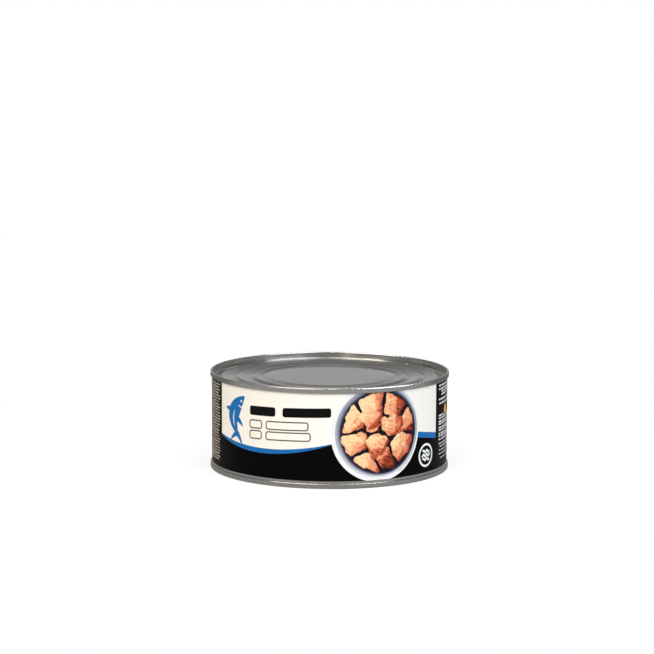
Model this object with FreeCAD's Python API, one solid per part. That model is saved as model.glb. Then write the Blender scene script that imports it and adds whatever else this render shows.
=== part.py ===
"""A shut, double-seamed food can for one kilogram of tuna: a body with a top end and a bottom end.

Frame: millimetres, +Z up along the can's axis, with the origin at the centre of the foot, on the
surface that the can stands on. The front of the can faces -Y. Both ends are the same pressed tinplate
part, one of them turned over. The body stands for the tinplate wall with its sealed contents, so it is
solid up to the underside of each end.
"""

import FreeCAD, Part
import math
import os

# Overall sizes of the closed can
SEAM_DIAMETER = 157.2           # outside of the double seams, the 603 size
CAN_HEIGHT = 64.0               # over both seams

# Double seam
SEAM_HEIGHT = 3.24
SEAM_THICKNESS = 1.40           # three layers of end plate and two of body plate
SEAM_OVERHANG = 1.00            # how far the seam stands out from the body wall
SEAM_TOP_ROUND = 0.55           # both edges of the rolled crest
SEAM_SKIRT_ROUND = 0.35         # outer edge of the seam where it turns in to the wall

# End plate, as depths below the crest of the seam
PLATE_THICKNESS = 0.22
CHUCK_WALL_TAPER = 5.0          # degrees from upright
COUNTERSINK_DEPTH = 5.35
COUNTERSINK_FLOOR = 2.40        # floor of the groove before its corners are rounded
COUNTERSINK_ROUND = 1.10
PANEL_DEPTH = 4.42              # flat centre panel

# Expansion beads: a conical ring climbs outwards to each crest and drops outside it
CREST_COUNT = 3
CREST_PITCH = 11.1
OUTER_CREST_INSET = 3.40        # from the countersink's inner edge in to the outermost crest
OUTER_CREST_DEPTH = 3.50
CREST_STEP = 0.30               # each crest lies this much deeper than the one outside it
BEAD_DROP = 0.70                # from a crest down to the groove outside it
BEAD_DROP_WIDTH = 3.70
BEAD_ROUND = 1.60
MOAT_DEPTH = 4.80               # the shallow ring around the centre panel
MOAT_INSET = 4.40               # from the innermost crest in to the bottom of that ring
MOAT_SLOPE_WIDTH = 6.30
MOAT_ROUND = 12.0

SEAM_RADIUS = SEAM_DIAMETER / 2
BODY_RADIUS = SEAM_RADIUS - SEAM_OVERHANG
CHUCK_RADIUS = SEAM_RADIUS - SEAM_THICKNESS
SEAM_FOOT = CAN_HEIGHT - SEAM_HEIGHT


def crest_height(depth):
    """Height above the foot of a point that lies this far below the top seam's crest."""
    return CAN_HEIGHT - depth


def chuck_wall_radius(depth):
    """Inner radius of the tapered chuck wall at a depth below the crest."""
    return CHUCK_RADIUS - depth * math.tan(math.radians(CHUCK_WALL_TAPER))


def bead_corners():
    """Corners of the panel and its beads, from the axis outwards, as (radius, height, rounding)."""
    groove_edge = chuck_wall_radius(COUNTERSINK_DEPTH) - COUNTERSINK_FLOOR
    outer_crest = groove_edge - OUTER_CREST_INSET
    inner_crest = outer_crest - (CREST_COUNT - 1) * CREST_PITCH
    moat = inner_crest - MOAT_INSET
    corners = [(0.0, crest_height(PANEL_DEPTH), 0.0)]
    corners.append((moat - MOAT_SLOPE_WIDTH, crest_height(PANEL_DEPTH), MOAT_ROUND))
    corners.append((moat, crest_height(MOAT_DEPTH), BEAD_ROUND))
    for steps_in in reversed(range(CREST_COUNT)):
        radius = outer_crest - steps_in * CREST_PITCH
        depth = OUTER_CREST_DEPTH + steps_in * CREST_STEP
        corners.append((radius, crest_height(depth), BEAD_ROUND))
        if steps_in:
            groove_depth = depth + BEAD_DROP
            corners.append((radius + BEAD_DROP_WIDTH, crest_height(groove_depth), BEAD_ROUND))
    corners.append((groove_edge, crest_height(COUNTERSINK_DEPTH), COUNTERSINK_ROUND))
    return corners


def plate_corners():
    """The whole upper face of the end plate, from the axis out and up the chuck wall to the crest."""
    corners = bead_corners()
    floor = crest_height(COUNTERSINK_DEPTH)
    corners.append((chuck_wall_radius(COUNTERSINK_DEPTH), floor, COUNTERSINK_ROUND))
    corners.append((CHUCK_RADIUS, CAN_HEIGHT, SEAM_TOP_ROUND))
    return corners


def unit(start, end):
    """Direction from one corner to another, as a pair of unit length."""
    span_r = end[0] - start[0]
    span_z = end[1] - start[1]
    length = math.hypot(span_r, span_z)
    return span_r / length, span_z / length


def offset_corners(corners, distance):
    """The same run of corners moved to the right of its direction, with each rounding kept parallel."""
    moved = []
    for index, (radius, height, rounding) in enumerate(corners):
        before = unit(corners[max(index - 1, 0)], corners[max(index, 1)])
        last = len(corners) - 1
        after = unit(corners[min(index, last - 1)], corners[min(index + 1, last)])
        bisect = distance / (1.0 + before[0] * after[0] + before[1] * after[1])
        shift_r = (before[1] + after[1]) * bisect
        shift_z = -(before[0] + after[0]) * bisect
        turn = before[0] * after[1] - before[1] * after[0]
        if rounding:
            rounding += math.copysign(distance, turn)
        moved.append((radius + shift_r, height + shift_z, rounding))
    return moved


def point(radius, height):
    """A point of a section in the XZ plane."""
    return FreeCAD.Vector(radius, 0.0, height)


def rounded_run(corners):
    """Edges through the corners, with an arc tangent to both sides in place of each rounded one."""
    edges = []
    reached = point(corners[0][0], corners[0][1])
    for before, corner, after in zip(corners, corners[1:], corners[2:]):
        arriving = unit(before, corner)
        leaving = unit(corner, after)
        half_turn = math.acos(arriving[0] * leaving[0] + arriving[1] * leaving[1]) / 2
        reach = corner[2] * math.tan(half_turn)
        start = point(corner[0] - arriving[0] * reach, corner[1] - arriving[1] * reach)
        end = point(corner[0] + leaving[0] * reach, corner[1] + leaving[1] * reach)
        edges.append(Part.LineSegment(reached, start).toShape())
        if reach:
            towards = (leaving[0] - arriving[0], leaving[1] - arriving[1])
            scale = corner[2] * (1 / math.cos(half_turn) - 1) / math.hypot(*towards)
            middle = point(corner[0] + towards[0] * scale, corner[1] + towards[1] * scale)
            edges.append(Part.Arc(start, middle, end).toShape())
        reached = end
    edges.append(Part.LineSegment(reached, point(corners[-1][0], corners[-1][1])).toShape())
    return edges


def underside_corners():
    """The end plate's lower face, cut off where the chuck wall passes the foot of the seam."""
    lower = offset_corners(plate_corners(), PLATE_THICKNESS)
    groove = lower[-2]
    wall = unit(groove, lower[-1])
    rise = (SEAM_FOOT - groove[1]) / wall[1]
    lower[-1] = (groove[0] + wall[0] * rise, SEAM_FOOT, 0.0)
    lower[0] = (0.0, lower[1][1], 0.0)
    return lower


def turned(edges):
    """The closed solid that a half section makes when it is turned about the can's axis."""
    face = Part.Face(Part.Wire(Part.__sortEdges__(edges)))
    return face.revolve(FreeCAD.Vector(0, 0, 0), FreeCAD.Vector(0, 0, 1), 360)


def build_top_end():
    """The top end with its share of the double seam, as one pressed and rolled piece."""
    crest_and_skirt = [
        (SEAM_RADIUS, CAN_HEIGHT, SEAM_TOP_ROUND),
        (SEAM_RADIUS, SEAM_FOOT, SEAM_SKIRT_ROUND),
        (BODY_RADIUS, SEAM_FOOT, 0.0),
    ]
    lower = underside_corners()
    outline = rounded_run(plate_corners() + crest_and_skirt)
    outline.append(Part.LineSegment(point(BODY_RADIUS, SEAM_FOOT), point(lower[-1][0], SEAM_FOOT)).toShape())
    outline.extend(rounded_run(lower))
    outline.append(Part.LineSegment(point(0.0, lower[0][1]), point(0.0, crest_height(PANEL_DEPTH))).toShape())
    return turned(outline)


def turned_over(shape):
    """The same shape at the other end of the can."""
    middle = FreeCAD.Vector(0, 0, CAN_HEIGHT / 2)
    return shape.mirror(middle, FreeCAD.Vector(0, 0, 1))


def build_half_body():
    """The upper half of the body, up to the seam's foot at the wall and the underside of the end."""
    lower = underside_corners()
    mid_height = CAN_HEIGHT / 2
    outline = rounded_run(lower)
    shoulder = [
        point(lower[-1][0], SEAM_FOOT),
        point(BODY_RADIUS, SEAM_FOOT),
        point(BODY_RADIUS, mid_height),
        point(0.0, mid_height),
        point(0.0, lower[0][1]),
    ]
    for start, end in zip(shoulder, shoulder[1:]):
        outline.append(Part.LineSegment(start, end).toShape())
    return turned(outline)


def build_body():
    """The body wall with its sealed contents, as one solid."""
    half = build_half_body()
    return half.fuse(turned_over(half)).removeSplitter()


def main():
    """Write one STEP file for each piece of the can."""
    os.makedirs("parts", exist_ok=True)
    top_end = build_top_end()
    pieces = {
        "can_body": build_body(),
        "top_end": top_end,
        "bottom_end": turned_over(top_end),
    }
    for name, shape in pieces.items():
        box = shape.BoundBox
        print(name, "valid", shape.isValid(), "solids", len(shape.Solids), "volume", round(shape.Volume, 1),
              "z", round(box.ZMin, 3), round(box.ZMax, 3), "diameter", round(box.XLength, 3))
        shape.exportStep(os.path.join("parts", name + ".step"))


main()
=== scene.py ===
"""Looks of a shut, low, round food can for tuna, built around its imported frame.

The can's two beaded ends and its body come from the frame and get their tinplate finish here. The print is
laid on the wall as thin layers of ink, each drawn flat on the unrolled wall and then wrapped round it.
Lengths are in millimetres on the wall, and in metres in the scene. The front of the can faces -Y.
"""

import logging
import math
import random
from collections.abc import Callable, Mapping, Sequence
from dataclasses import dataclass, field
from enum import Enum
from functools import reduce

import bmesh
import bpy
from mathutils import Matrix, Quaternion, Vector


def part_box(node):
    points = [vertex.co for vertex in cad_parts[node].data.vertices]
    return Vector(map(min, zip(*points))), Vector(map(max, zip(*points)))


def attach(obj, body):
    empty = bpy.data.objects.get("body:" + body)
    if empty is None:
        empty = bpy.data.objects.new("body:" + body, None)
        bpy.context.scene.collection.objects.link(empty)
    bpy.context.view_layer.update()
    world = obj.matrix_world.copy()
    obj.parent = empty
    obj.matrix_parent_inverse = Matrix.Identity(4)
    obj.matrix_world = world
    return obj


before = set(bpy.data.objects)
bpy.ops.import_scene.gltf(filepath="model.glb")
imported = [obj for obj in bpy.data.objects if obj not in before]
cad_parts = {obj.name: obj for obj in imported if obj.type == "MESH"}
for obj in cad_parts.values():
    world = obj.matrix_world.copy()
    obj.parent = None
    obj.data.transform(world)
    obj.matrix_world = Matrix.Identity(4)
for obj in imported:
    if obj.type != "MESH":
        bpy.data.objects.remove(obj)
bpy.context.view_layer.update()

LOG = logging.getLogger("tuna_can")
MM = 0.001
BODY = "root"

Place = tuple[float, float]
Triple = tuple[float, float, float]
Colour = tuple[float, float, float]
Marks = tuple[float, float, float]
Stop = tuple[float, Colour]
Profile = Callable[[float], float]
Socket = bpy.types.NodeSocket
Value = Socket | float | tuple[float, ...]


# --- The can's own measures, read from the frame ---


@dataclass(frozen=True)
class CanSizes:
    """Sizes of the can in millimetres, as the frame gives them."""

    wall_radius: float
    wall_foot: float
    wall_top: float
    height: float

    @classmethod
    def from_frame(cls) -> "CanSizes":
        """Read the wall's radius and the heights of both seam feet from the frame's boxes.

        Returns:
            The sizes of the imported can.
        """
        low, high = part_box("can_body")
        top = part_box("top_end")[1]
        return cls(high.x / MM, low.z / MM, high.z / MM, top.z / MM)

    @property
    def girth(self) -> float:
        """Length of the unrolled wall."""
        return 2.0 * math.pi * self.wall_radius

    def along(self, degrees: float) -> float:
        """Distance along the unrolled wall of a direction, from the front towards the right."""
        return math.radians(degrees) * self.wall_radius

    def wrap(self, place: Place, lift: float) -> Vector:
        """Put a place of the unrolled wall on the can.

        Args:
            place: Distance along the wall from the front, and height above the foot.
            lift: Height above the bare wall.

        Returns:
            The point in metres.
        """
        turn = place[0] / self.wall_radius
        radius = self.wall_radius + lift
        return Vector((radius * math.sin(turn), -radius * math.cos(turn), place[1])) * MM


CAN = CanSizes.from_frame()


# --- Flat drawing on the unrolled wall ---

WRAP_STEP = 1.3
"""Widest face along the wall, so that ink follows the curve closely."""


@dataclass
class Flat:
    """A shape drawn on the unrolled wall: its points, the faces between them and each point's marks.

    A point's marks are its tone, its distance along the grain and its distance past a ridge.
    """

    points: list[Place] = field(default_factory=list)
    faces: list[tuple[int, ...]] = field(default_factory=list)
    marks: list[Marks] = field(default_factory=list)

    def add(self, other: "Flat") -> "Flat":
        """Take in another shape.

        Args:
            other: The shape to join to this one.

        Returns:
            This shape.
        """
        start = len(self.points)
        self.points.extend(other.points)
        self.faces.extend(tuple(start + index for index in face) for face in other.faces)
        self.marks.extend(other.marks)
        return self

    def moved(self, along: float, up: float = 0.0) -> "Flat":
        """A copy of the shape moved along and up the wall."""
        return Flat([(s + along, z + up) for s, z in self.points], list(self.faces), list(self.marks))

    def marked(self, mark: Callable[[Place], Marks]) -> "Flat":
        """The same shape, with the marks that this works out for every point."""
        self.marks = [mark(point) for point in self.points]
        return self

    def rim(self) -> list[tuple[int, int]]:
        """Find the edges that only one face uses.

        Returns:
            Each edge's two points, in the direction that its face runs.
        """
        used: dict[tuple[int, int], None] = {}
        for face in self.faces:
            used.update(dict.fromkeys(zip(face, face[1:] + face[:1])))
        return [edge for edge in used if (edge[1], edge[0]) not in used]


def joined(shapes: Sequence[Flat]) -> Flat:
    """One shape that holds all of these."""
    return reduce(Flat.add, shapes, Flat())


def stations(start: float, end: float, step: float = WRAP_STEP) -> list[float]:
    """Even places from start to end, no further apart than a step."""
    count = max(1, math.ceil(abs(end - start) / step))
    return [start + (end - start) * index / count for index in range(count + 1)]


def grid(columns: int, rows: int) -> list[tuple[int, ...]]:
    """Faces of a grid whose points run up each column in turn."""
    corners = [column * (rows + 1) + row for column in range(columns) for row in range(rows)]
    return [(corner, corner + rows + 1, corner + rows + 2, corner + 1) for corner in corners]


def between(lower: Profile, upper: Profile, places: Sequence[float], rows: int = 1) -> Flat:
    """Fill the space between two profiles.

    Args:
        lower: Height of the lower edge at each place along the wall.
        upper: Height of the upper edge.
        places: Where the columns stand, from left to right.
        rows: Faces in each column.

    Returns:
        The filled shape.
    """
    shape = Flat(faces=grid(len(places) - 1, rows))
    for place in places:
        low, high = lower(place), upper(place)
        shape.points.extend((place, low + (high - low) * row / rows) for row in range(rows + 1))
    return shape


def disc(centre: Place, radius: float, floor: float = -math.inf, ceiling: float = math.inf,
         columns: int = 24, rows: int = 4) -> Flat:
    """Fill a circle, cut off level at a floor and a ceiling.

    Args:
        centre: The circle's centre.
        radius: The circle's radius.
        floor: Lowest height kept.
        ceiling: Greatest height kept.
        columns: Faces across the circle.
        rows: Faces up the circle.

    Returns:
        The filled disc.
    """

    def reach(place: float) -> float:
        """Half the circle's height at a place."""
        return math.sqrt(max(radius**2 - (place - centre[0]) ** 2, 0.0))

    def held(height: float) -> float:
        """A height kept between floor and ceiling."""
        return min(max(height, floor), ceiling)

    places = [centre[0] - radius * math.cos(math.pi * index / columns) for index in range(columns + 1)]
    return between(lambda s: held(centre[1] - reach(s)), lambda s: held(centre[1] + reach(s)), places, rows)


def blob(centre: Place, reach: Profile, sectors: int = 40, rings: int = 4) -> Flat:
    """Fill a closed outline round a centre with rings of faces.

    Args:
        centre: The centre of the shape.
        reach: Distance of the outline from the centre in each direction, in radians.
        sectors: Corners of the outline.
        rings: Rings from the centre to the outline.

    Returns:
        The filled shape.
    """
    shape = Flat([centre])
    turns = [2.0 * math.pi * sector / sectors for sector in range(sectors)]
    outline = [(reach(turn) * math.cos(turn), reach(turn) * math.sin(turn)) for turn in turns]
    for ring in range(1, rings + 1):
        share = ring / rings
        shape.points.extend((centre[0] + along * share, centre[1] + up * share) for along, up in outline)
    for sector in range(sectors):
        after = (sector + 1) % sectors
        shape.faces.append((0, 1 + sector, 1 + after))
        for ring in range(rings - 1):
            inner, outer = 1 + ring * sectors, 1 + (ring + 1) * sectors
            shape.faces.append((inner + sector, outer + sector, outer + after, inner + after))
    return shape


def ribbon(path: Sequence[Place], half_width: Profile, rows: int = 2, closed: bool = False) -> Flat:
    """Draw a stroke along a path, with a width that may change from start to end.

    Args:
        path: Points of the stroke's middle line.
        half_width: Half the stroke's width at a share of its length from 0 to 1.
        rows: Faces across the stroke.
        closed: Whether its last point is followed by its first.

    Returns:
        The filled stroke.
    """
    last = len(path) - 1
    count = len(path) * (rows + 1)
    shape = Flat(faces=[tuple(corner % count for corner in face) for face in grid(last + closed, rows)])
    for index, (along, up) in enumerate(path):
        before = path[index - 1 if closed else max(index - 1, 0)]
        after = path[(index + 1) % len(path) if closed else min(index + 1, last)]
        run, rise = after[0] - before[0], after[1] - before[1]
        length = math.hypot(run, rise)
        reach = half_width(index / last)
        for row in range(rows + 1):
            side = reach * (2.0 * row / rows - 1.0)
            shape.points.append((along - rise / length * side, up + run / length * side))
    return shape


def arc(centre: Place, radius: float, start: float, end: float, step: float = 0.8) -> list[Place]:
    """Points of an arc from one direction to another, in degrees anticlockwise from the right."""
    turns = stations(math.radians(start), math.radians(end), step / radius)
    return [(centre[0] + radius * math.cos(turn), centre[1] + radius * math.sin(turn)) for turn in turns]


def bar(start: Place, length: float, height: float, corner: float, slope: float = 0.0) -> Flat:
    """Draw a solid bar with rounded corners.

    Args:
        start: Middle of the bar's left end.
        length: The bar's length.
        height: The bar's height.
        corner: Radius of its corners.
        slope: Rise for each millimetre along.

    Returns:
        The filled bar.
    """
    half = height / 2.0
    bend = [corner * (1.0 - math.cos(math.pi / 8 * index)) for index in range(4)]
    places = bend + stations(corner, length - corner) + [length - place for place in reversed(bend)]

    def reach(place: float) -> float:
        """Half the bar's height at a place."""
        short = max(corner - min(place, length - place), 0.0)
        return half - corner + math.sqrt(max(corner**2 - short**2, 0.0))

    drawn = between(lambda s: slope * s - reach(s), lambda s: slope * s + reach(s), places, 2)
    return drawn.moved(*start)


def outline(start: Place, length: float, height: float, corner: float, stroke: float,
            slope: float = 0.0) -> Flat:
    """Draw the outline of a rounded bar.

    Args:
        start: Middle of the outline's left end.
        length: The outline's length.
        height: The outline's height.
        corner: Radius of its corners.
        stroke: Width of its line.
        slope: Rise for each millimetre along.

    Returns:
        The filled outline.
    """
    half = height / 2.0 - corner
    bends = (((length - corner, half), 0.0), ((corner, half), 90.0),
             ((corner, -half), 180.0), ((length - corner, -half), 270.0))
    corners = [arc(centre, corner, turn, turn + 90.0, 0.5) for centre, turn in bends]
    path: list[Place] = []
    for bend, after in zip(corners, corners[1:] + corners[:1]):
        path.extend(bend)
        steps = max(1, math.ceil(math.dist(bend[-1], after[0]) / WRAP_STEP))
        rises = [index / steps for index in range(1, steps)]
        path.extend(tuple(a + (b - a) * rise for a, b in zip(bend[-1], after[0])) for rise in rises)
    path = [(start[0] + along, start[1] + up + slope * along) for along, up in path]
    return ribbon(path, lambda share: stroke / 2.0, 1, closed=True)


# --- Finishes ---


def linear(*steps: int) -> Colour:
    """The scene's linear colour for red, green and blue of the screen in steps of 255."""
    shares = [step / 255.0 for step in steps]
    return tuple(share / 12.92 if share <= 0.04045 else ((share + 0.055) / 1.055) ** 2.4 for share in shares)


class Graph:
    """Nodes of a material or of the surround, laid and joined by short calls."""

    def __init__(self, owner: bpy.types.Material | bpy.types.World) -> None:
        """Start with no nodes.

        Args:
            owner: The material or world that the nodes belong to.
        """
        owner.use_nodes = True
        self.tree = owner.node_tree
        self.tree.nodes.clear()

    def feed(self, target: Socket, value: Value) -> None:
        """Link a socket to its source, or set it to a plain value.

        Args:
            target: The socket to feed.
            value: The source's socket, or the plain value.
        """
        if isinstance(value, Socket):
            self.tree.links.new(value, target)
        else:
            target.default_value = value

    def node(self, kind: str, values: Mapping[str | int, Value] | None = None,
             **settings: str) -> bpy.types.Node:
        """Add a node and feed its inputs.

        Args:
            kind: The node's type, without the prefix that all of them share.
            values: What its inputs get, by name or by number.
            settings: Its settings by name.

        Returns:
            The new node.
        """
        node = self.tree.nodes.new(f"ShaderNode{kind}")
        for name, setting in settings.items():
            setattr(node, name, setting)
        for name, value in (values or {}).items():
            self.feed(node.inputs[name], value)
        return node

    def place(self, stretch: Triple = (1.0, 1.0, 1.0)) -> Socket:
        """The piece's own coordinates, stretched along its axes."""
        where = self.node("TexCoord").outputs["Object"]
        return self.node("Mapping", {"Vector": where, "Scale": stretch}).outputs["Vector"]

    def split(self, where: Socket) -> tuple[Socket, Socket, Socket]:
        """The three parts of a vector."""
        return tuple(self.node("SeparateXYZ", {0: where}).outputs)

    def noise(self, where: Socket, size_mm: float, detail: float = 3.0) -> Socket:
        """A noise whose features are about this many millimetres wide."""
        values = {"Vector": where, "Scale": 1.0 / (size_mm * MM), "Detail": detail}
        return self.node("TexNoise", values).outputs["Fac"]

    def spread(self, value: Socket, low: float, high: float, start: float = 0.3, end: float = 0.7) -> Socket:
        """Map the range from start to end onto the one from low to high, held at both ends."""
        values = {"Value": value, "From Min": start, "From Max": end, "To Min": low, "To Max": high}
        return self.node("MapRange", values).outputs["Result"]

    def maths(self, operation: str, *values: Value) -> Socket:
        """The result of an operation on values in the node's order."""
        return self.node("Math", dict(enumerate(values)), operation=operation).outputs[0]

    def sum(self, first: Socket, second: Socket, share: float) -> Socket:
        """The first value plus a share of the second."""
        return self.maths("MULTIPLY_ADD", second, share, first)

    def mixed(self, share: Socket, first: Socket, second: Socket) -> Socket:
        """A shader that goes over from the first to the second."""
        return self.node("MixShader", {0: share, 1: first, 2: second}).outputs[0]

    def ramp(self, share: Socket, stops: Sequence[Stop]) -> Socket:
        """Turn a value into a colour between stops.

        Args:
            share: The value from 0 to 1.
            stops: Each stop's value and colour, in rising order.

        Returns:
            The colour's socket.
        """
        node = self.node("ValToRGB", {0: share})
        elements = node.color_ramp.elements
        while len(elements) < len(stops):
            elements.new(0.5)
        for element, (value, colour) in zip(elements, stops):
            element.position = value
            element.color = (*colour, 1.0)
        return node.outputs["Color"]


class Surface(Graph):
    """A new material's nodes, round one principled shader."""

    GLOSS_PATCH_MM = 5.0
    GLOSS_WANDER = 0.03
    LACQUER_GRAIN_MM = 0.5
    LACQUER_RELIEF_MM = 0.0015

    def __init__(self, name: str) -> None:
        """Start a material with its shader.

        Args:
            name: The material's name.
        """
        self.material = bpy.data.materials.new(name)
        super().__init__(self.material)
        self.shader = self.node("BsdfPrincipled")
        self.output = self.node("OutputMaterial", {0: self.shader.outputs[0]})

    def give(self, name: str, value: Value) -> None:
        """Feed one input of the shader."""
        self.feed(self.shader.inputs[name], value)

    def marks(self) -> tuple[Socket, Socket, Socket]:
        """The tone, grain and ridge that the piece's points carry."""
        return self.split(self.node("Attribute", attribute_name="marks").outputs["Vector"])

    def colour(self, share: Socket, middle: Colour, wander: float) -> None:
        """Let the colour wander about a middle, darker and lighter by a share of itself."""
        ends = [tuple(min(part * factor, 1.0) for part in middle) for factor in (1.0 - wander, 1.0 + wander)]
        self.give("Base Color", self.ramp(share, list(enumerate(ends))))

    def gloss(self, value: Socket, middle: float, wander: float, shine: float) -> None:
        """Let the roughness wander about a middle, and set how strongly the surface shines."""
        self.give("Roughness", self.spread(value, middle - wander, middle + wander))
        self.give("Specular IOR Level", shine)

    def relief(self, height: Socket, depth_mm: float) -> None:
        """Give the surface a fine relief of this depth."""
        values = {"Height": height, "Strength": 1.0, "Distance": depth_mm * MM}
        self.give("Normal", self.node("Bump", values).outputs["Normal"])

    def lacquer(self, place: Socket, roughness: float, shine: float) -> None:
        """Cover the surface with lacquer, whose gloss wanders over a very fine relief."""
        self.gloss(self.noise(place, self.GLOSS_PATCH_MM), roughness, self.GLOSS_WANDER, shine)
        self.relief(self.noise(place, self.LACQUER_GRAIN_MM, 2.0), self.LACQUER_RELIEF_MM)


@dataclass(frozen=True)
class Ink:
    """A glossy lacquered ink, which wanders a little in depth of colour."""

    name: str
    colour: Colour
    wander: float = 0.05
    roughness: float = 0.3
    shine: float = 0.2
    fleck_mm: float = 2.0

    def build(self) -> bpy.types.Material:
        """Make the ink's material.

        Returns:
            The new material.
        """
        graph = Surface(self.name)
        place = graph.place()
        share = graph.spread(graph.noise(place, self.fleck_mm), 0.0, 1.0)
        graph.colour(share, self.colour, self.wander)
        graph.lacquer(place, self.roughness, self.shine)
        return graph.material


@dataclass(frozen=True)
class ShadedInk:
    """Inks printed in fine dots, so that their tone runs smoothly from dark to light."""

    name: str
    stops: tuple[Stop, ...]
    wander: float = 0.1
    fleck_mm: float = 1.2
    flake_mm: float = 0.0
    flake_depth: float = 0.0
    flake_bend: float = 4.0
    glow: float = 0.0
    ridge_depth: float = 0.0
    ridge_fade: Place = (-0.5, 0.7)
    far_ridge_fade: Place = (-6.2, -5.2)
    far_ridge_share: float = 0.4
    roughness: float = 0.3
    shine: float = 0.2

    def build(self) -> bpy.types.Material:
        """Make the material, whose tone comes from the marks on the piece's points.

        Returns:
            The new material.
        """
        graph = Surface(self.name)
        place = graph.place()
        tone, grain, ridge = graph.marks()
        fleck = graph.spread(graph.noise(place, self.fleck_mm), -1.0, 1.0)
        tone = graph.sum(tone, fleck, self.wander)
        if self.flake_mm:
            tone = self.flaked(graph, place, tone, grain)
        if self.ridge_depth:
            edge = graph.sum(ridge, graph.spread(graph.noise(place, 2.5), -1.0, 1.0), 0.9)
            tone = graph.sum(tone, graph.spread(edge, 0.0, 1.0, *self.ridge_fade), -self.ridge_depth)
            far = graph.spread(edge, 1.0, 0.0, *self.far_ridge_fade)
            tone = graph.sum(tone, far, self.far_ridge_share * self.ridge_depth)
        graph.give("Base Color", graph.ramp(tone, self.stops))
        graph.lacquer(place, self.roughness, self.shine)
        return graph.material

    def flaked(self, graph: Surface, place: Socket, tone: Socket, grain: Socket) -> Socket:
        """Draw the flakes' thin dark lines in patches, and light spots between them.

        Args:
            graph: The material's nodes.
            place: The piece's coordinates.
            tone: The tone so far.
            grain: Distance along the grain, across the flakes.

        Returns:
            The new tone.
        """
        turn = 2.0 * math.pi / self.flake_mm
        bend = graph.spread(graph.noise(place, 2.6 * self.flake_mm), -self.flake_bend, self.flake_bend)
        lines = graph.spread(graph.maths("SINE", graph.sum(bend, grain, turn)), 0.0, 1.0, 0.5, 1.0)
        rough = graph.noise(graph.place((1.0, 1.0, 1.3)), 1.7 * self.flake_mm)
        patches = graph.spread(rough, 0.0, 1.0, 0.42, 0.6)
        tone = graph.sum(tone, graph.maths("MULTIPLY", lines, patches), -self.flake_depth)
        spots = graph.spread(graph.noise(place, 2.2 * self.flake_mm, 1.0), 0.0, 1.0, 0.5, 0.72)
        return graph.sum(tone, spots, self.glow)


@dataclass(frozen=True)
class Tinplate:
    """Bare tinplate: grey metal with a fine mottle and faint rolling lines."""

    name: str
    colour: Colour
    roughness: float = 0.18
    mottle: float = 0.09
    mottle_mm: float = 1.4
    line_mm: float = 0.6
    line_stretch: Triple = (0.06, 1.0, 1.0)
    relief_mm: float = 0.0016

    def build(self) -> bpy.types.Material:
        """Make the metal's material.

        Returns:
            The new material.
        """
        graph = Surface(self.name)
        place = graph.place()
        share = graph.spread(graph.noise(place, self.mottle_mm, 5.0), 0.0, 1.0)
        graph.colour(share, self.colour, self.mottle)
        lines = graph.noise(graph.place(self.line_stretch), self.line_mm, 4.0)
        graph.gloss(lines, self.roughness, 0.02, 0.5)
        graph.give("Metallic", 1.0)
        graph.relief(graph.noise(place, 0.7, 4.0), self.relief_mm)
        return graph.material


class Finish(Enum):
    """The can's finishes."""

    TINPLATE = Tinplate("bare_tinplate", (0.56, 0.55, 0.53))
    WELD = Tinplate("weld_line", (0.30, 0.29, 0.28), roughness=0.4, mottle=0.2)
    BLACK = Ink("black_ink", linear(8, 6, 6), shine=0.04)
    CREAM = Ink("cream_ink", linear(252, 248, 239), wander=0.01)
    BLUE = Ink("blue_ink", linear(24, 109, 180))
    TITLE = Ink("title_ink", linear(14, 12, 13), shine=0.1)
    FINE = Ink("fine_line_ink", linear(104, 95, 84))
    SMALL = Ink("small_print_ink", linear(240, 238, 236), wander=0.15, fleck_mm=1.0)
    SMALL_WARM = Ink("warm_small_print_ink", linear(210, 199, 182), wander=0.25, fleck_mm=1.0)
    WHITE = Ink("white_ink", linear(248, 248, 248), wander=0.01)
    YELLOW = Ink("yellow_ink", linear(240, 200, 72))
    ORANGE = Ink("orange_ink", linear(206, 98, 48))
    DISH = ShadedInk(
        "dish_ink",
        ((0.0, linear(9, 10, 22)), (0.3, linear(46, 50, 72)), (0.6, linear(158, 160, 176)),
         (0.8, linear(212, 214, 222)), (1.0, linear(252, 251, 250))),
        wander=0.015,
    )
    TUNA = ShadedInk(
        "tuna_ink",
        ((0.0, linear(78, 24, 14)), (0.24, linear(172, 68, 42)), (0.44, linear(216, 114, 78)),
         (0.62, linear(234, 147, 106)), (0.8, linear(247, 176, 130)), (1.0, linear(254, 216, 164))),
        wander=0.09, flake_mm=2.6, flake_depth=0.36, glow=0.2, ridge_depth=0.36,
    )

    def material(self) -> bpy.types.Material:
        """The finish's material, made the first time it is asked for."""
        return bpy.data.materials.get(self.value.name) or self.value.build()


# --- Layers of ink ---


INK_DEPTH = 0.018
"""How thick each layer of ink is, in millimetres."""


class Layer(Enum):
    """How far the face of each layer of ink stands off the bare wall, in millimetres."""

    GROUND = 0.02
    FIELD = 0.034
    ACCENT = 0.048
    OVER = 0.062
    TOP = 0.076
    PEAK = 0.09

    @property
    def under(self) -> float:
        """Where the layer's underside lies, sunk a little into the layer below."""
        return self.value - INK_DEPTH


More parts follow.
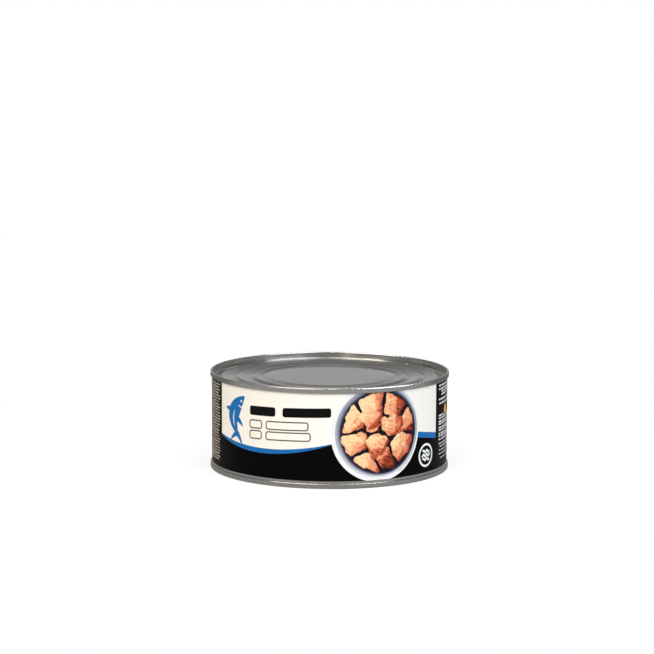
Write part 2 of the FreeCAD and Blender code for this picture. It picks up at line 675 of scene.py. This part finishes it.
@dataclass(frozen=True)
class Press:
    """Wraps flat drawings round the wall as thin closed layers of ink."""

    sharp: float = math.radians(30.0)
    same_point: float = 0.001 * MM

    def lay(self, name: str, drawing: Flat, layer: Layer, finish: Finish,
            slot: str = "printed_wall") -> bpy.types.Object:
        """Make one piece of print.

        Args:
            name: The piece's name.
            drawing: Its shape on the unrolled wall.
            layer: How high it lies.
            finish: Its ink.
            slot: Not used.

        Returns:
            The piece, riding on the can.
        """
        count = len(drawing.points)
        points = [CAN.wrap(place, layer.value) for place in drawing.points]
        points += [CAN.wrap(place, layer.under) for place in drawing.points]
        faces = list(drawing.faces)
        faces += [tuple(count + index for index in reversed(corners)) for corners in drawing.faces]
        faces += [(end, start, count + start, count + end) for start, end in drawing.rim()]
        mesh = bpy.data.meshes.new(name)
        mesh.from_pydata(points, [], faces)
        if drawing.marks:
            marks = mesh.attributes.new("marks", "FLOAT_VECTOR", "POINT")
            values = [value for mark in drawing.marks * 2 for value in mark]
            marks.data.foreach_set("vector", values)
        self.close(mesh)
        mesh.materials.append(finish.material())
        piece = bpy.data.objects.new(name, mesh)
        bpy.context.scene.collection.objects.link(piece)
        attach(piece, BODY)
        LOG.info("laid %s: %d faces", name, len(mesh.polygons))
        return piece

    def close(self, mesh: bpy.types.Mesh) -> None:
        """Merge points that meet, and shade the faces smoothly up to the layer's edges.

        Args:
            mesh: The layer's mesh.
        """
        work = bmesh.new()
        work.from_mesh(mesh)
        bmesh.ops.remove_doubles(work, verts=work.verts, dist=self.same_point)
        work.to_mesh(mesh)
        work.free()
        mesh.polygons.foreach_set("use_smooth", [True] * len(mesh.polygons))
        mesh.set_sharp_from_angle(angle=self.sharp)


PRESS = Press()


# --- The two ends, the ground coat and the weld ---


@dataclass
class TinplateParts:
    """The frame's own pieces, in bare tinplate."""

    nodes: tuple[str, ...] = ("top_end", "bottom_end", "can_body")

    def dress(self) -> None:
        """Give each piece of the frame its finish."""
        for node in self.nodes:
            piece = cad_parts[node]
            piece.data.materials.clear()
            piece.data.materials.append(Finish.TINPLATE.material())
            LOG.info("dressed %s", node)


@dataclass
class Ground:
    """The black coat all round the wall, open at the side weld and above a bare strip at the foot."""

    bare_strip: float = 1.5
    weld_at: float = CAN.along(-115.9)
    weld_margin: float = 2.1
    weld_width: float = 0.9
    coat_rows: int = 6
    weld_rows: int = 40

    @property
    def foot(self) -> float:
        """Height of the coat's lower edge."""
        return CAN.wall_foot + self.bare_strip

    def build(self) -> None:
        """Lay the black coat and the weld's line in the strip that it leaves bare."""
        start = self.weld_at + self.weld_margin
        end = self.weld_at + CAN.girth - self.weld_margin
        coat = between(lambda s: self.foot, lambda s: CAN.wall_top, stations(start, end), self.coat_rows)
        PRESS.lay("black_coat", coat, Layer.GROUND, Finish.BLACK)
        half = self.weld_width / 2.0
        line = between(lambda s: CAN.wall_foot, lambda s: CAN.wall_top, (-half, half), self.weld_rows)
        PRESS.lay("weld_line", line.moved(self.weld_at), Layer.OVER, Finish.WELD, "tinplate")


# --- What is printed on a facing ---


@dataclass
class Facing:
    """One printed face of the can: a cream field over black, edged by a blue sweep and a blue band."""

    name: str
    centre: float
    left: float = -86.0
    right: float = 84.1
    split: float = 32.0
    step: float = 0.5
    rows: int = 6
    sweep_low_at: float = -44.7
    sweep_low: float = 23.55
    sweep_curve: float = 0.00243
    shade_low_at: float = -46.7
    shade_low: float = 20.4
    shade_curve_left: float = 0.0041
    shade_curve_right: float = 0.0034
    thinnest: float = 0.3
    sweep_end: float = 4.0
    band_start: float = 56.0
    band_top: float = 33.7
    band_slope: float = -0.165
    band_depth: float = 3.8

    def sweep_upper(self, along: float) -> float:
        """Upper edge of the blue sweep, which is the cream field's lower edge left of the dish."""
        return self.sweep_low + self.sweep_curve * (along - self.sweep_low_at) ** 2

    def sweep_lower(self, along: float) -> float:
        """Work out the lower edge of the blue sweep.

        Args:
            along: Distance from the facing's middle.

        Returns:
            The edge's height, a little below the upper edge at least.
        """
        away = along - self.shade_low_at
        curve = self.shade_curve_left if away < 0.0 else self.shade_curve_right
        return min(self.shade_low + curve * away**2, self.sweep_upper(along) - self.thinnest)

    def band_upper(self, along: float) -> float:
        """Upper edge of the straight band right of the dish."""
        return self.band_top + self.band_slope * (along - self.band_start)

    def band_lower(self, along: float) -> float:
        """Lower edge of the straight band."""
        return self.band_upper(along) - self.band_depth

    def field_lower(self, along: float) -> float:
        """Lower edge of the cream field, which steps behind the dish."""
        return self.sweep_upper(along) if along < self.split else self.band_upper(along)

    def lay(self, name: str, drawing: Flat, layer: Layer, finish: Finish) -> None:
        """Lay one piece of this facing."""
        PRESS.lay(f"{self.name}_{name}", drawing.moved(self.centre), layer, finish)

    def build(self) -> None:
        """Lay the cream field and its two blue edges."""
        left = stations(self.left, self.split - self.step)
        places = left + stations(self.split + self.step, self.right)
        cream = between(self.field_lower, lambda s: CAN.wall_top, places, self.rows)
        self.lay("field", cream, Layer.FIELD, Finish.CREAM)
        sweep = between(self.sweep_lower, self.sweep_upper, stations(self.left, self.sweep_end), 2)
        band = between(self.band_lower, self.band_upper, stations(self.band_start, self.right), 2)
        self.lay("blue_edges", joined([sweep, band]), Layer.FIELD, Finish.BLUE)


@dataclass
class FishMark:
    """A leaping fish in blue, as a plain emblem at the left of a facing.

    Each fin has its root as a share of the spine, its direction, length, width and bend.
    """

    facing: Facing
    foot: Place = (-66.6, 29.8)
    rise: float = 25.5
    lean: float = 7.0
    bow: float = 7.4
    girth: float = 5.4
    stem: float = 0.9
    tip: float = 0.05
    steps: int = 34
    fins: tuple[tuple[float, ...], ...] = ((0.03, 206.0, 8.6, 3.6, 26.0), (0.03, 316.0, 8.6, 3.6, -26.0),
                                           (0.54, 150.0, 9.8, 5.4, 40.0), (0.46, -16.0, 11.5, 5.2, -40.0))
    fin_steps: int = 8
    eye_at: float = 0.86
    eye_aside: float = 0.9
    eye_radius: float = 0.75
    gill_at: float = 0.92
    gill_turn: Place = (232.0, 292.0)
    gill_radius: float = 5.6
    gill_half: float = 0.32
    belly: Place = (0.18, 0.62)
    belly_half: float = 0.42

    def spine(self, share: float) -> Place:
        """A point of the spine at a share of the way from tail to snout."""
        along = self.foot[0] + self.lean * share - self.bow * math.sin(math.pi * share)
        return along, self.foot[1] + self.rise * share

    def half_width(self, share: float) -> float:
        """Half the body's width at a share of its length."""
        swell = self.girth * math.sin(math.pi * share**1.25) ** 0.85
        return swell + self.stem * (1.0 - share) ** 3 + self.tip

    def fin(self, root: float, turn: float, length: float, width: float, bend: float) -> Flat:
        """Draw a tapering fin.

        Args:
            root: Where it grows from, as a share of the spine.
            turn: Its direction at the root, in degrees.
            length: Its length.
            width: Its width at the root.
            bend: How far it turns by its tip, in degrees.

        Returns:
            The fin's shape.
        """
        path = [self.spine(root)]
        stride = length / self.fin_steps
        for index in range(self.fin_steps):
            heading = math.radians(turn + bend * index / self.fin_steps)
            along, up = path[-1]
            path.append((along + stride * math.cos(heading), up + stride * math.sin(heading)))
        return ribbon(path, lambda share: width / 2.0 * (1.0 - share) ** 0.7 + 0.08)

    def build(self) -> None:
        """Lay the fins, the body over them, and its eye and gill."""
        for index, fin in enumerate(self.fins):
            self.facing.lay(f"fish_fin_{index + 1}", self.fin(*fin), Layer.ACCENT, Finish.BLUE)
        spine = [self.spine(index / self.steps) for index in range(self.steps + 1)]
        self.facing.lay("fish_body", ribbon(spine, self.half_width, 8), Layer.OVER, Finish.BLUE)
        head = self.spine(self.eye_at)
        eye = disc((head[0] + self.eye_aside, head[1]), self.eye_radius, columns=12, rows=2)
        cheek = arc(self.spine(self.gill_at), self.gill_radius, *self.gill_turn)
        gill = ribbon(cheek, lambda share: self.gill_half)
        belly = ribbon([self.spine(share) for share in stations(*self.belly, 0.0276)],
                       lambda share: self.belly_half * math.sin(math.pi * share) + 0.04)
        self.facing.lay("fish_marks", joined([eye, gill, belly]), Layer.TOP, Finish.CREAM)


@dataclass
class TitleBlock:
    """Plain bars in the place of a title, over thin outlined bars in the place of its second lines."""

    facing: Facing
    left: float = -55.0
    slope: float = 0.027
    corner: float = 1.5
    title_middle: float = 47.0
    title_height: float = 6.0
    title_words: tuple[Place, ...] = ((0.0, 19.6), (24.6, 31.4))
    line_height: float = 5.0
    line_stroke: float = 0.85
    line_middles: tuple[float, float] = (38.3, 31.6)
    line_words: tuple[tuple[Place, ...], ...] = (((0.0, 9.4), (13.0, 28.4)), ((0.0, 9.2), (12.8, 30.0)))

    def build(self) -> None:
        """Lay both kinds of bar."""
        words = [
            bar((self.left + start, self.title_middle + self.slope * start), length, self.title_height,
                self.corner, self.slope)
            for start, length in self.title_words
        ]
        self.facing.lay("title_bars", joined(words), Layer.ACCENT, Finish.TITLE)
        lines = [
            outline((self.left + start, middle + self.slope * start), length, self.line_height, self.corner,
                    self.line_stroke, self.slope)
            for middle, row in zip(self.line_middles, self.line_words)
            for start, length in row
        ]
        self.facing.lay("line_bars", joined(lines), Layer.ACCENT, Finish.FINE)


@dataclass
class Seal:
    """A round white seal with three waves in it."""

    facing: Facing
    centre: Place = (71.8, 16.0)
    radius: float = 7.7
    line: float = 1.4
    wave_half: float = 1.4 / 2.2
    wave_length: float = 3.6
    wave_height: float = 0.75
    waves: tuple[Place, ...] = ((2.6, 7.2), (0.0, 9.0), (-2.6, 7.2))

    def wave(self, up: float, length: float) -> Flat:
        """Draw one wave line across the seal.

        Args:
            up: Its height above the seal's centre.
            length: Its length.

        Returns:
            The line's shape.
        """
        turn = 2.0 * math.pi / self.wave_length
        places = stations(-length / 2.0, length / 2.0, 0.35)
        path = [(place, up + self.wave_height * math.sin(turn * place)) for place in places]
        return ribbon(path, lambda share: self.wave_half).moved(*self.centre)

    def build(self) -> None:
        """Lay the ring and its waves."""
        half = self.line / 2.0
        ring = ribbon(arc(self.centre, self.radius - half, 0.0, 360.0), lambda share: half)
        waves = [self.wave(up, length) for up, length in self.waves]
        self.facing.lay("seal", joined([ring, *waves]), Layer.FIELD, Finish.WHITE)


@dataclass
class Chunk:
    """One chunk of tuna, which fills its share of the dish up to its neighbours.

    Each wall that bounds it has a direction and a distance. Each wave that roughens it has a count and size.
    """

    centre: Place
    walls: list[tuple[Place, float]]
    rim_from: Place
    rim_radius: float
    draw: random.Random
    softness: float = 12.0
    roughness: float = 0.14
    light_slope: float = 0.014
    edge_dark: float = 0.2
    shadow_tone: float = 0.12
    rough_waves: tuple[tuple[int, float], ...] = ((2, 0.45), (3, 0.5), (5, 0.36), (8, 0.3), (13, 0.24),
                                                  (19, 0.14))

    def __post_init__(self) -> None:
        """Draw the chunk's own tone, grain, ridge and unevenness."""
        self.tone = self.draw.uniform(0.62, 0.86)
        self.grain_turn = self.draw.uniform(0.0, 2.0 * math.pi)
        self.grain_reach = self.draw.uniform(9.0, 16.0)
        self.ridge_turn = math.radians(self.draw.uniform(-95.0, 5.0))
        self.ridge_at = self.draw.uniform(1.2, 4.2)
        self.waves = [(count, self.draw.uniform(0.0, 2.0 * math.pi), self.draw.uniform(0.4, 1.0) * size)
                      for count, size in self.rough_waves]

    def reach(self, turn: float) -> float:
        """Work out how far the outline lies from the chunk's centre.

        Args:
            turn: The direction, in radians.

        Returns:
            The distance.
        """
        ahead = (math.cos(turn), math.sin(turn))
        offset = (self.centre[0] - self.rim_from[0], self.centre[1] - self.rim_from[1])
        towards = offset[0] * ahead[0] + offset[1] * ahead[1]
        inside = self.rim_radius**2 - offset[0] ** 2 - offset[1] ** 2
        to_rim = -towards + math.sqrt(towards**2 + inside)
        closeness = (1.0 / to_rim) ** self.softness
        for (across, up), distance in self.walls:
            facing = across * ahead[0] + up * ahead[1]
            closeness += (max(facing, 0.0) / distance) ** self.softness
        rough = sum(size * math.sin(count * turn + phase) for count, phase, size in self.waves)
        return closeness ** (-1.0 / self.softness) * (1.0 + self.roughness * rough)

    def mark(self, place: Place) -> Marks:
        """Work out the marks of a place on the chunk.

        Args:
            place: The place.

        Returns:
            Its tone, its distance along the grain and its distance past the ridge.
        """
        along, up = place[0] - self.centre[0], place[1] - self.centre[1]
        away = math.hypot(along, up)
        edge = away / self.reach(math.atan2(up, along)) if away else 0.0
        light = self.light_slope * (up - along)
        pole = (self.grain_reach * math.cos(self.grain_turn), self.grain_reach * math.sin(self.grain_turn))
        ridge = along * math.cos(self.ridge_turn) + up * math.sin(self.ridge_turn) - self.ridge_at
        return self.tone + light - self.edge_dark * edge**8, math.dist((along, up), pole), ridge

    def drawn(self, shadow: Place | None = None) -> Flat:
        """Draw the chunk with its marks, or the dark shape of its shadow.

        Args:
            shadow: How far the shadow falls to the side and upwards, for a shadow.

        Returns:
            The marked shape.
        """
        shape = blob(self.centre, self.reach, sectors=56, rings=8)
        if shadow is None:
            return shape.marked(self.mark)
        return shape.moved(*shadow).marked(lambda place: (self.shadow_tone, 0.0, -self.rim_radius))


@dataclass
class Dish:
    """A white dish of tuna chunks seen from above, cut off by the seam over it.

    Each ring of chunks has their number, its radius and its first direction. Each heaped chunk has its place
    from the middle of the well and its size.
    """

    facing: Facing
    floor: float
    seed: int
    centre: Place = (32.0, 34.9)
    radius: float = 31.3
    well_centre: Place = (33.2, 35.4)
    well_radius: float = 25.4
    wall_radius: float = 29.4
    wall_tone: Place = (0.6, 1.0)
    rim_tone: Place = (0.93, 1.0)
    rim_blend: float = 1.2
    dark_shift: float = 1.6
    light_from: float = math.radians(-40.0)
    lip_inset: float = 1.6
    lip_turn: Place = (-62.0, 26.0)
    gap: float = 1.6
    chunk_radius: float = 25.2
    shadow: Place = (1.0, -1.2)
    rings: tuple[tuple[int, float, float], ...] = ((8, 18.4, 0.2), (3, 6.6, 0.75))
    heaped: tuple[tuple[Place, float], ...] = (((-7.0, 9.0), 7.4), ((9.5, 5.0), 6.8), ((-2.5, -8.0), 7.8))

    def shade(self, place: Place) -> Marks:
        """Shade the dish: dark in the well, bluish up the far wall and white at the rim.

        Args:
            place: A place on the dish.

        Returns:
            Its marks, of which only the tone counts.
        """
        along, up = place[0] - self.well_centre[0], place[1] - self.well_centre[1]
        away, turn = math.hypot(along, up), math.atan2(up, along)
        lit = 0.5 + 0.5 * math.cos(turn - self.light_from)
        wall, edge = (dark + (light - dark) * lit for dark, light in (self.wall_tone, self.rim_tone))
        start = self.well_radius - self.dark_shift * (1.0 - lit)
        share = min(max((away - start) / (self.wall_radius - start), 0.0), 1.0)
        climb = share * share * (3.0 - 2.0 * share)
        rim = min(max((away - self.wall_radius) / self.rim_blend + 0.5, 0.0), 1.0)
        return max(wall * climb, rim * edge), 0.0, 0.0

    def places(self, draw: random.Random) -> list[Place]:
        """Place the chunks: an uneven ring along the wall, round a few in the middle.

        Args:
            draw: Draws the unevenness.

        Returns:
            The chunks' centres.
        """
        return [
            (self.well_centre[0] + reach * draw.uniform(0.8, 1.12) * math.cos(turn),
             self.well_centre[1] + reach * draw.uniform(0.8, 1.12) * math.sin(turn))
            for count, reach, start in self.rings
            for turn in [start + 2.0 * math.pi * (index + draw.uniform(-0.3, 0.3)) / count
                         for index in range(count)]
        ]

    def chunks(self) -> list[Chunk]:
        """Share the dish out between its chunks, with narrow gaps.

        Returns:
            The chunks.
        """
        draw = random.Random(self.seed)
        centres = self.places(draw)
        found = []
        for centre in centres:
            walls = []
            for other in centres:
                distance = math.dist(centre, other)
                if distance:
                    facing = ((other[0] - centre[0]) / distance, (other[1] - centre[1]) / distance)
                    walls.append((facing, distance / 2.0 - self.gap * draw.uniform(0.1, 0.9)))
            found.append(Chunk(centre, walls, self.well_centre, self.chunk_radius, draw))
        return found

    def heap(self) -> list[Chunk]:
        """Heap a few chunks on top of the others, each about as wide as long.

        Returns:
            The heaped chunks.
        """
        draw = random.Random(self.seed + 1)
        found = []
        for (along, up), size in self.heaped:
            centre = (self.well_centre[0] + along, self.well_centre[1] + up)
            start = draw.uniform(0.0, 2.0 * math.pi)
            turns = [start + 2.0 * math.pi * (side + draw.uniform(-0.2, 0.2)) / 5 for side in range(5)]
            walls = [((math.cos(turn), math.sin(turn)), size * draw.uniform(0.62, 1.0)) for turn in turns]
            chunk = Chunk(centre, walls, self.well_centre, self.chunk_radius, draw)
            chunk.tone = draw.uniform(0.78, 0.92)
            found.append(chunk)
        return found

    def build(self) -> None:
        """Lay the dish, its lip line and the chunks in it."""
        plate = disc(self.centre, self.radius, self.floor, CAN.wall_top, columns=110, rows=72)
        self.facing.lay("dish", plate.marked(self.shade), Layer.ACCENT, Finish.DISH)
        edge = arc(self.centre, self.radius - self.lip_inset, *self.lip_turn)
        lip = ribbon(edge, lambda share: 0.14 + 0.1 * share)
        self.facing.lay("dish_lip", lip, Layer.OVER, Finish.FINE)
        chunks = joined([chunk.drawn() for chunk in self.chunks()])
        self.facing.lay("tuna_chunks", chunks, Layer.OVER, Finish.TUNA)
        heaped = self.heap()
        shadows = joined([chunk.drawn(self.shadow) for chunk in heaped])
        self.facing.lay("tuna_shadows", shadows, Layer.TOP, Finish.TUNA)
        tops = joined([chunk.drawn() for chunk in heaped])
        self.facing.lay("tuna_tops", tops, Layer.PEAK, Finish.TUNA)


# --- Small print at the sides ---


@dataclass
class SmallPrint:
    """Rows of short dashes in the place of small print.

    Each row has the height of its middle, its dashes' height and how far it is indented.
    """

    name: str
    left: float
    right: float
    rows: Sequence[tuple[float, float, float]]
    finish: Finish
    seed: int
    dash: tuple[float, float] = (1.6, 6.5)
    gap: float = 1.1
    shortest: float = 1.5

    def build(self) -> None:
        """Lay the rows of dashes."""
        draw = random.Random(self.seed)
        dashes = Flat()
        for up, height, indent in self.rows:
            along = self.left + indent
            while along < self.right - self.shortest:
                length = min(draw.uniform(*self.dash), self.right - along)
                half = height / 2.0 * draw.uniform(0.86, 1.0)
                dashes.add(between(lambda s: up - half, lambda s: up + half,
                                   stations(along, along + length)))
                along += length + self.gap * draw.uniform(0.7, 1.4)
        PRESS.lay(self.name, dashes, Layer.FIELD, self.finish)


@dataclass
class SidePanel:
    """One black stretch beside a facing, with small print from its left end to its right.

    Each line of the open print has the height of its middle, its dashes' height and how far it is indented.
    """

    name: str
    left: float
    right: float
    seed: int
    spot: Place = (CAN.along(10.5), 41.7)
    spot_radius: float = 3.3
    spot_half_rim: float = 0.45
    line_step: float = 1.95
    lines: tuple[Triple, ...] = (
        (58.5, 1.3, 0.0), (56.2, 1.3, 0.0), (54.4, 1.1, 4.5), (52.5, 1.1, 4.5), (49.5, 1.3, 0.0),
        (46.8, 1.3, 0.6), (38.9, 1.1, 0.0), (37.1, 1.1, 0.0), (34.9, 1.1, 0.0), (33.3, 1.1, 0.0),
        (30.9, 1.1, 0.0), (29.3, 1.1, 0.0), (27.0, 1.1, 0.0), (25.4, 1.1, 0.0), (23.2, 1.1, 0.0),
        (20.4, 0.8, 0.0), (18.4, 0.8, 2.0), (16.0, 0.6, 0.8), (13.6, 0.6, 0.0), (10.8, 0.6, 3.0),
    )

    def build_open(self) -> None:
        """Lay open print with a plain yellow spot in it."""
        SmallPrint(f"{self.name}_print", self.left, self.right, self.lines, Finish.SMALL, self.seed).build()
        centre = (self.left + self.spot[0], self.spot[1])
        rim = ribbon(arc(centre, self.spot_radius - 0.1, 0.0, 360.0, 0.5), lambda share: self.spot_half_rim)
        PRESS.lay(f"{self.name}_spot", disc(centre, self.spot_radius), Layer.FIELD, Finish.YELLOW)
        PRESS.lay(f"{self.name}_spot_rim", rim, Layer.ACCENT, Finish.ORANGE)

    def build_dense(self) -> None:
        """Lay dense print in warm grey."""
        draw = random.Random(self.seed)
        rows = [(up, draw.uniform(0.75, 1.15), draw.choice((0.0, 0.0, 0.7)))
                for up in stations(9.4, 58.6, self.line_step)]
        SmallPrint(f"{self.name}_print", self.left, self.right, rows, Finish.SMALL_WARM, self.seed,
                   (0.9, 3.6), 0.8).build()


def lay_side_panels(front: Facing, back: Facing, margin: float = 5.0) -> None:
    """Lay an open and a dense panel of print on each side, between the facings.

    Args:
        front: The front facing.
        back: The back facing.
        margin: Width of bare black between print and its neighbours.
    """
    half = margin / 2.0
    start, end = front.right + margin, back.centre + back.left - half
    middle = (start + end) / 2.0
    SidePanel("right_front", start, middle - half, 11).build_open()
    SidePanel("right_back", middle + half, end, 12).build_dense()
    start, end = back.centre + back.right - CAN.girth + margin + 2.0, front.left - margin / 1.5
    middle = (start + end) / 2.0
    SidePanel("left_front", middle + half, end, 13).build_dense()
    SidePanel("left_back", start, middle - half, 14).build_open()


# --- Studio ---


@dataclass(frozen=True)
class Softbox:
    """A square softbox that faces the can, with its place and side in metres and its power in watts."""

    name: str
    place: Triple
    side: float
    power: float
    colour: Colour

    def hang(self) -> None:
        """Hang the softbox in its place."""
        data = bpy.data.lights.new(self.name, "AREA")
        data.size = self.side
        data.energy = self.power
        data.color = self.colour
        lamp = bpy.data.objects.new(self.name, data)
        lamp.location = self.place
        aim = Vector((0.0, 0.0, CAN.height * MM / 2)) - Vector(self.place)
        lamp.rotation_mode = "QUATERNION"
        lamp.rotation_quaternion = aim.to_track_quat("-Z", "Y")
        bpy.context.scene.collection.objects.link(lamp)


@dataclass
class Studio:
    """A pale floor, soft lamps, a white surround and the camera, with lengths in metres.

    The band levels pair a height, from 0 at the horizon to 1 overhead, with the light from there.
    """

    camera_place: Triple = (-0.0019, -1.4689, 0.2958)
    pitch: float = 7.892
    roll: float = 0.272
    lens: float = 124.07
    sensor: float = 36.0
    floor_reach: float = 6.0
    floor_pale: float = 0.9
    floor_level: float = 0.29
    # Floor colour behind the can: painted shade that only reflections and bounced light see.
    floor_shade_behind: float = 0.14
    behind_from: float = 0.15
    shadow_span: Place = (0.1, 0.34)
    shadow_glow: float = 0.7
    white_in_metal: float = 0.04
    soft_level: float = 0.6
    front_share: float = 0.6
    band_levels: tuple[Place, ...] = ((0.0, 0.1), (0.05, 0.4), (0.1, 0.52), (0.17, 0.46), (0.26, 0.18),
                                      (0.42, 0.08), (0.6, 0.3), (0.8, 0.5), (1.0, 0.55))
    lamps: tuple[Softbox, ...] = (
        Softbox("key", (-1.2, -1.5, 2.1), 2.2, 59.0, (1.0, 0.92, 0.81)),
        Softbox("fill", (1.5, -1.4, 1.9), 2.2, 55.0, (0.84, 0.92, 1.0)),
        Softbox("rear", (0.3, 1.5, 2.3), 2.6, 13.0, (1.0, 1.0, 1.0)),
        Softbox("low_key", (-0.50, -1.55, 0.14), 0.2, 0.06, (1.0, 0.94, 0.84)),
        Softbox("low_fill", (1.5, -0.5, 0.2), 0.5, 0.1, (0.72, 0.84, 1.0)),
    )

    def build(self) -> None:
        """Make everything that lights and shows the can."""
        self.floor()
        self.surround()
        for lamp in self.lamps:
            lamp.hang()
        self.camera()
        bpy.context.scene.view_settings.view_transform = "Standard"

    def floor(self) -> None:
        """A wide pale floor, plain white to the eye except for the can's shadow."""
        reach = self.floor_reach
        corners = [(-reach, -reach, 0.0), (reach, -reach, 0.0), (reach, reach, 0.0), (-reach, reach, 0.0)]
        mesh = bpy.data.meshes.new("floor")
        mesh.from_pydata(corners, [], [(0, 1, 2, 3)])
        graph = Surface("floor")
        graph.give("Roughness", 0.9)
        graph.give("Specular IOR Level", 0.0)
        seen = graph.node("LightPath").outputs["Is Camera Ray"]
        place = graph.place()
        along = graph.split(place)[1]
        # Painted shade: away from the eye, the floor's colour darkens behind the can, so reflections in the
        # metal show a darker floor there.
        dull = graph.spread(along, self.floor_level, self.floor_shade_behind, 0.0, self.behind_from)
        pale = graph.maths("MULTIPLY", seen, self.floor_pale)
        graph.give("Base Color", graph.maths("MAXIMUM", pale, dull))
        away = graph.node("VectorMath", {0: place}, operation="LENGTH").outputs["Value"]
        share = graph.maths("MULTIPLY", seen, graph.spread(away, self.shadow_glow, 1.0, *self.shadow_span))
        glow = graph.node("Emission").outputs[0]
        graph.feed(graph.output.inputs["Surface"], graph.mixed(share, graph.shader.outputs[0], glow))
        mesh.materials.append(graph.material)
        floor = bpy.data.objects.new("floor", mesh)
        bpy.context.scene.collection.objects.link(floor)

    def surround(self) -> None:
        """White to the eye, soft and plain to matt surfaces, and a studio's bands of light to shiny ones."""
        world = bpy.data.worlds.new("surround")
        bpy.context.scene.world = world
        graph = Graph(world)
        path = graph.node("LightPath").outputs
        white, plain, bands = (
            graph.node("Background", {"Color": (1.0, 1.0, 1.0, 1.0), "Strength": level}).outputs[0]
            for level in (1.0, self.soft_level, self.bands(graph))
        )
        glossy = path["Is Glossy Ray"]
        faint = graph.sum(path["Is Camera Ray"], glossy, self.white_in_metal)
        clear = graph.maths("MAXIMUM", path["Is Transmission Ray"], faint)
        lit = graph.mixed(glossy, plain, bands)
        graph.node("OutputWorld", {"Surface": graph.mixed(clear, lit, white)})

    def bands(self, graph: Graph) -> Socket:
        """Light by direction: a low bright band, dim above it and lighter overhead, weaker in front.

        Args:
            graph: The surround's nodes.

        Returns:
            The strength's socket.
        """
        ahead = graph.split(graph.node("TexCoord").outputs["Generated"])
        levels = [(height, (level, level, level)) for height, level in self.band_levels]
        behind = graph.spread(ahead[1], self.front_share, 1.0, 0.0, 0.9)
        return graph.maths("MULTIPLY", graph.ramp(ahead[2], levels), behind)

    def camera(self) -> None:
        """A long lens, a little above the can and looking slightly down on it."""
        data = bpy.data.cameras.new("camera")
        data.lens = self.lens
        data.sensor_width = self.sensor
        camera = bpy.data.objects.new("camera", data)
        camera.location = self.camera_place
        camera.rotation_mode = "QUATERNION"
        tilt = Quaternion((1.0, 0.0, 0.0), math.radians(90.0 - self.pitch))
        camera.rotation_quaternion = tilt @ Quaternion((0.0, 0.0, 1.0), math.radians(self.roll))
        bpy.context.scene.collection.objects.link(camera)
        bpy.context.scene.camera = camera


def main() -> None:
    """Build the can's looks piece by piece."""
    logging.basicConfig(level=logging.INFO, format="%(message)s")
    Studio().build()
    TinplateParts().dress()
    ground = Ground()
    ground.build()
    facings = [Facing("front", 0.0), Facing("back", CAN.girth / 2.0)]
    for facing in facings:
        facing.build()
        FishMark(facing).build()
        TitleBlock(facing).build()
        Dish(facing, ground.foot, seed=5).build()
        Seal(facing).build()
    lay_side_panels(*facings)


if __name__ == "__main__":
    main()
